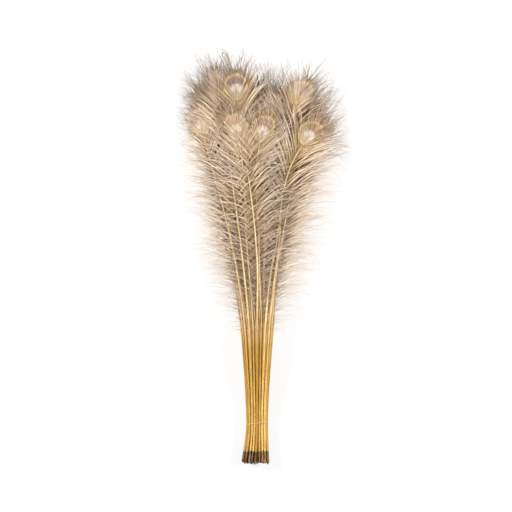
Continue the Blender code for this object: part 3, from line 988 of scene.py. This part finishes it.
        # Loose barbs thin out to fine hairs
        thin_from = TOP_THIN_FROM.get(number, THIN_FROM)
        thin = 1.0 - 0.84 * smooth((t - thin_from) / (0.95 - thin_from))
        width = self.at_roots(WIDTHS)[:, None] * thin * self.uniform(0.8, 1.2)[:, None]
        for side, low_arc, high_arc in CLEARINGS.get(number, ()):
            cleared = (self.side == side) & (self.roots > low_arc) & (self.roots < high_arc)
            width[cleared] *= 0.30
        fringe = smooth((self.along - 0.020) / 0.025)
        width = np.maximum(width * (1 - 0.5 * fringe), FRINGE_WIDTH * fringe * (1.1 - t))
        width = width * (1 - inside) + WEB_WIDTH * inside
        return width * (1 - (1 - inside) * 0.50 * (1 - smooth(t / 0.20)))

    def tones(self, points):
        """The barbs' light and dark, reaching darker as painted shade in the bunch's core, and how
        far each point is inside that core.
        """
        x, y = points[..., 0], points[..., 1]
        tone = 0.5 + 0.26 * self.rng.normal(0, 1, self.count) + 0.24 * np.sin(self.lock * 2.4)
        tone = np.clip(tone, 0, 1)[:, None]
        core = np.abs(x - MIDDLE_X) / np.interp(y, CORE_LEVELS, CORE_WIDTHS)
        core = smooth((1.4 - core) / 0.7) * np.interp(y, (0.57, 0.66), (1.0, 0.85))
        return tone * core + (0.35 + 0.65 * tone) * (1 - core), core

    def from_eye(self, number):
        """Each point's place from the eye's centre, turned with the eye, and its t."""
        turn = math.radians(EYE_TURNS.get(number, 0.0))
        across = self.out * self.side[:, None]
        turned = across * math.cos(turn) - self.along * math.sin(turn)
        ahead = across * math.sin(turn) + self.along * math.cos(turn)
        return np.stack((turned, ahead, np.broadcast_to(self.t, across.shape)), axis=-1)


def strand_corners(points, width, rng):
    """The corners of tapered three-sided strands: two edges and a ridge at each ring, and a tip."""
    count, rings = points.shape[:2]
    forward = np.gradient(points, axis=1)
    forward /= np.linalg.norm(forward, axis=2, keepdims=True)
    aside = np.cross(forward, (0.0, 0.0, 1.0))
    aside /= np.linalg.norm(aside, axis=2, keepdims=True)
    upward = np.cross(aside, forward)
    t = np.linspace(0.0, 1.0, rings)[None, :, None]
    roll = rng.normal(0.0, BARB_ROLL, count)[:, None, None] * (0.3 + t)
    tilted = aside * np.cos(roll) + upward * np.sin(roll)
    raised = upward * np.cos(roll) - aside * np.sin(roll)
    half = width[..., None] / 2
    left, right = points - tilted * half, points + tilted * half
    corners = np.stack((left, right, points + raised * half * 0.55), axis=2)[:, :-1]
    vertices = np.concatenate((corners.reshape(count, -1, 3), points[:, -1:]), axis=1)
    vertices[..., 2] = np.maximum(vertices[..., 2], LOWEST_CORNER)
    return vertices


def strand_faces(segments):
    """One strand's faces by corner, and their places on its strip of the bake map."""
    faces, spots = [], []
    halves = {0: 0.0, 2: 0.5, 1: 1.0}
    sides = ((0, 2), (2, 1), (1, 0))
    for ring in range(segments - 1):
        low, high = ring * 3, ring * 3 + 3
        u0, u1 = ring / segments, (ring + 1) / segments
        for a, b in sides:
            faces.append((low + b, low + a, high + a, high + b))
            spots += ((u0, halves[b]), (u0, halves[a]), (u1, halves[a]), (u1, halves[b]))
    last, tip = (segments - 1) * 3, segments * 3
    for a, b in sides:
        faces.append((last + b, last + a, tip))
        spots += ((last / tip, halves[b]), (last / tip, halves[a]), (1.0, 0.5))
    faces.append((0, 2, 1))
    spots += ((0.0, 0.0), (0.02, 0.5), (0.0, 1.0))
    return faces, np.array(spots)


def repeated_mesh(name, vertices, faces):
    """A mesh of many strands, each with the same faces over its own vertices."""
    mesh = bpy.data.meshes.new(name)
    starts = range(0, vertices.shape[0] * vertices.shape[1], vertices.shape[1])
    faces = [[start + index for index in face] for start in starts for face in faces]
    mesh.from_pydata((vertices - ORIGIN).reshape(-1, 3), [], faces, shade_flat=False)
    return mesh


def lay_strands_flat(mesh, count, spots):
    """The strands' own strips of the bake map, in columns under the quill's strip."""
    rows = math.ceil(count / MAP_COLUMNS)
    column = np.arange(count) // rows
    row = np.arange(count) % rows
    u = (column[:, None] + 0.02 + 0.96 * spots[None, :, 0]) / MAP_COLUMNS
    v = 0.94 * (row[:, None] + 0.08 + 0.84 * spots[None, :, 1]) / rows
    add_bake_map(mesh, u, v)


def barb_mesh(feather, number, look):
    """One feather's barbs as a mesh, with what their material needs at each vertex."""
    vane = Vane(feather, number)
    clear, warmth, inner = look
    points = vane.points()
    width = vane.widths(number, clear)
    tone, core = vane.tones(points)
    vertices = strand_corners(points, width, vane.rng)
    faces, spots = strand_faces(vane.segments)
    mesh = repeated_mesh(f"barbs_{number:02d}", vertices, faces)
    lay_strands_flat(mesh, vane.count, spots)

    def to_corners(values):
        """The values at each point of the lines, at the three corners there and at the tip."""
        rings = np.repeat(values[:, :-1], 3, axis=1)
        return np.concatenate((rings, values[:, -1:]), axis=1)

    place = to_corners(vane.from_eye(number))
    add_attribute(mesh, "from_eye", place)
    add_attribute(mesh, "from_end", np.zeros_like(place))
    add_attribute(mesh, "tone", to_corners(tone))
    # Painted shade: in the core the barbs' edges are darker
    ridge = to_corners(0.28 * (1 - core))
    ridge[:, 2:-1:3] = 1.0
    add_attribute(mesh, "ridge", ridge)
    # Painted shade on inner barbs is strongest in the core
    looks = np.stack((clear + 0 * core, warmth + 0 * core, inner * (0.2 + 0.8 * core)), axis=-1)
    add_attribute(mesh, "look", to_corners(looks))
    return mesh


def make_feather(number, feather, pattern, barbs, gold):
    """One feather as one piece: its quill and shaft joined with its barbs."""
    rng = np.random.default_rng(LOOK_SEED + number)
    look = EYE_LOOKS.get(number, (rng.uniform(0.3, 0.9), rng.random()))
    # How much painted shade this feather's loose barbs get, by its layer or as given for it
    inner = np.interp(feather.layer, INNER_LAYERS, INNER_PAINTED_SHADE)
    look = (*look, PAINTED_SHADE_FEATHERS.get(number, inner))
    name = f"plume_{number:02d}"
    shaft = add_object(name, bent_quill(pattern, feather, rng))
    shaft.data.materials.append(gold)
    vane = add_object(f"{name}_barbs", barb_mesh(feather, number, look))
    vane.data.materials.append(barbs)
    select((shaft, vane))
    bpy.ops.object.join()
    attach(shaft, "root")
    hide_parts(f"feather_{number:02d}")


def thread_route(feathers, points):
    """The closed line that the thread follows round the outermost quills."""
    reach = QUILL_RADIUS + THREAD_GAP + THREAD_RADIUS
    quills = [(f.x_tie, f.z_tie) for f in feathers]
    route = []
    for step in range(points):
        angle = 2 * math.pi * (step + 0.5) / points
        across, up = math.cos(angle), math.sin(angle)
        x, z = max(quills, key=lambda quill: quill[0] * across + quill[1] * up)
        x += reach * across
        z += reach * up
        route.append((x, TIE_Y + x * THREAD_SLANT, z))
    return np.array(route)


def even_steps(route, count):
    """The same closed line with its points evenly spaced, and its length."""
    route = np.concatenate((route, route[:1]))
    steps = np.linalg.norm(np.diff(route, axis=0), axis=1)
    along = np.concatenate(((0.0,), np.cumsum(steps)))
    wanted = np.linspace(0.0, along[-1], count, endpoint=False)
    line = np.stack([np.interp(wanted, along, route[:, axis]) for axis in range(3)], axis=-1)
    return line, along[-1]


def ply(name, line, radius, closed):
    """A round strand along a line of points, as a mesh."""
    curve = bpy.data.curves.new(name, "CURVE")
    curve.dimensions = "3D"
    curve.bevel_depth = radius
    curve.bevel_resolution = 1
    curve.use_fill_caps = True
    spline = curve.splines.new("POLY")
    spline.points.add(len(line) - 1)
    spline.use_cyclic_u = closed
    for point, place in zip(spline.points, line - ORIGIN):
        point.co = (*place, 1.0)
    select((add_object(name, curve),))
    bpy.ops.object.convert(target="MESH")
    return bpy.context.object


def make_thread(feathers, surface):
    """The binding thread: two plies twisted together, with a small knot low on the right."""
    route = thread_route(feathers, 72)
    line, length = even_steps(route, THREAD_STEPS)
    forward = np.roll(line, -1, axis=0) - np.roll(line, 1, axis=0)
    forward /= np.linalg.norm(forward, axis=1, keepdims=True)
    outward = np.cross(forward, (0.0, 1.0, 0.0))
    outward /= np.linalg.norm(outward, axis=1, keepdims=True)
    beside = np.cross(forward, outward)
    strands = []
    turns = round(length / TWIST_LENGTH)
    angle = np.linspace(0, 2 * math.pi * turns, len(line), endpoint=False)
    for number in range(2):
        twist = angle + math.pi * number
        offset = outward * np.cos(twist)[:, None] + beside * np.sin(twist)[:, None]
        strands.append(ply(f"thread_ply_{number}", line + offset * PLY_OFFSET, PLY_RADIUS, True))
    knot_at = line[-KNOT_STEP]
    u = np.linspace(0, 2 * math.pi, 60)
    loop = np.stack((
        0.5 * np.sin(3 * u) + 0.4,
        np.sin(u) + 1.6 * np.sin(2 * u),
        np.cos(u) - 1.6 * np.cos(2 * u),
    ), axis=-1)
    strands.append(ply("thread_knot", knot_at + loop[:-1] * KNOT_SIZE, KNOT_RADIUS, True))
    for sign, reach in TAILS:
        v = np.linspace(0, 1, 14)
        x = 0.0006 + 0.0012 * np.sin(v * 3)
        tail = np.stack((x, sign * reach * v, -0.003 * v * v), axis=-1)
        strands.append(ply("thread_tail", knot_at + tail, TAIL_RADIUS, False))
    thread = strands[0]
    select(strands)
    bpy.ops.object.join()
    thread.name = "tie_thread"
    thread.data.materials.append(surface)
    thread.data.shade_smooth()
    count = len(thread.data.vertices)
    places = np.empty(count * 3)
    thread.data.vertices.foreach_get("co", places)
    add_attribute(thread.data, "from_end", places)
    add_attribute(thread.data, "tone", np.abs(np.sin(places.reshape(-1, 3)[:, 0] * 1500)))
    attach(thread, "root")
    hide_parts("binding_thread")


def make_floor():
    bpy.ops.mesh.primitive_plane_add(size=12.0, location=(0.0, 0.0, -0.0002))
    floor = bpy.context.object
    floor.name = "floor"
    made, _, shader = new_material("white_table")
    set_inputs(shader, Base_Color=(TABLE_GREY, TABLE_GREY, TABLE_GREY, 1.0), Roughness=0.9)
    set_inputs(shader, Emission_Color=WHITE, Emission_Strength=TABLE_GLOW)
    floor.data.materials.append(made)


def add_lamp(name, place, power):
    """A round lamp that shines at the middle of the bunch."""
    light = bpy.data.lights.new(name, "AREA")
    light.shape = "DISK"
    light.size = LAMP_SIZE
    light.energy = power
    holder = add_object(name, light)
    holder.location = place
    holder.rotation_euler = (-Vector(place)).to_track_quat("-Z", "Y").to_euler()


def light_scene():
    world = bpy.data.worlds.new("studio")
    world.use_nodes = True
    background = world.node_tree.nodes["Background"]
    set_inputs(background, Color=WHITE, Strength=ROOM_LIGHT)
    bpy.context.scene.world = world
    for name, place, power in LAMPS:
        add_lamp(name, place, power)
    bpy.context.scene.view_settings.view_transform = "Standard"


def make_camera():
    """Straight down on the bunch, with the tips at the top of the picture."""
    data = bpy.data.cameras.new("camera")
    data.sensor_width = CAMERA_SENSOR
    data.lens = CAMERA_SENSOR * (CAMERA_HEIGHT - SCALE_HEIGHT) / PHOTO_SPAN
    data.clip_end = 50.0
    camera = add_object("camera", data)
    camera.location = (PICTURE_MIDDLE[0] - ORIGIN[0], PICTURE_MIDDLE[1] - ORIGIN[1], CAMERA_HEIGHT)
    bpy.context.scene.camera = camera


def main():
    make_camera()
    light_scene()
    make_floor()
    streaks_tree = keratin_streaks_group()
    eye_tree = eye_pattern_group()
    barbs = barb_material(streaks_tree, eye_tree)
    gold = quill_material(streaks_tree)
    feathers = lay_out()
    pattern = model_quill()
    for number, feather in enumerate(feathers, 1):
        make_feather(number, feather, pattern, barbs, gold)
    bpy.data.objects.remove(pattern, do_unlink=True)
    make_thread(feathers, thread_material())


main()
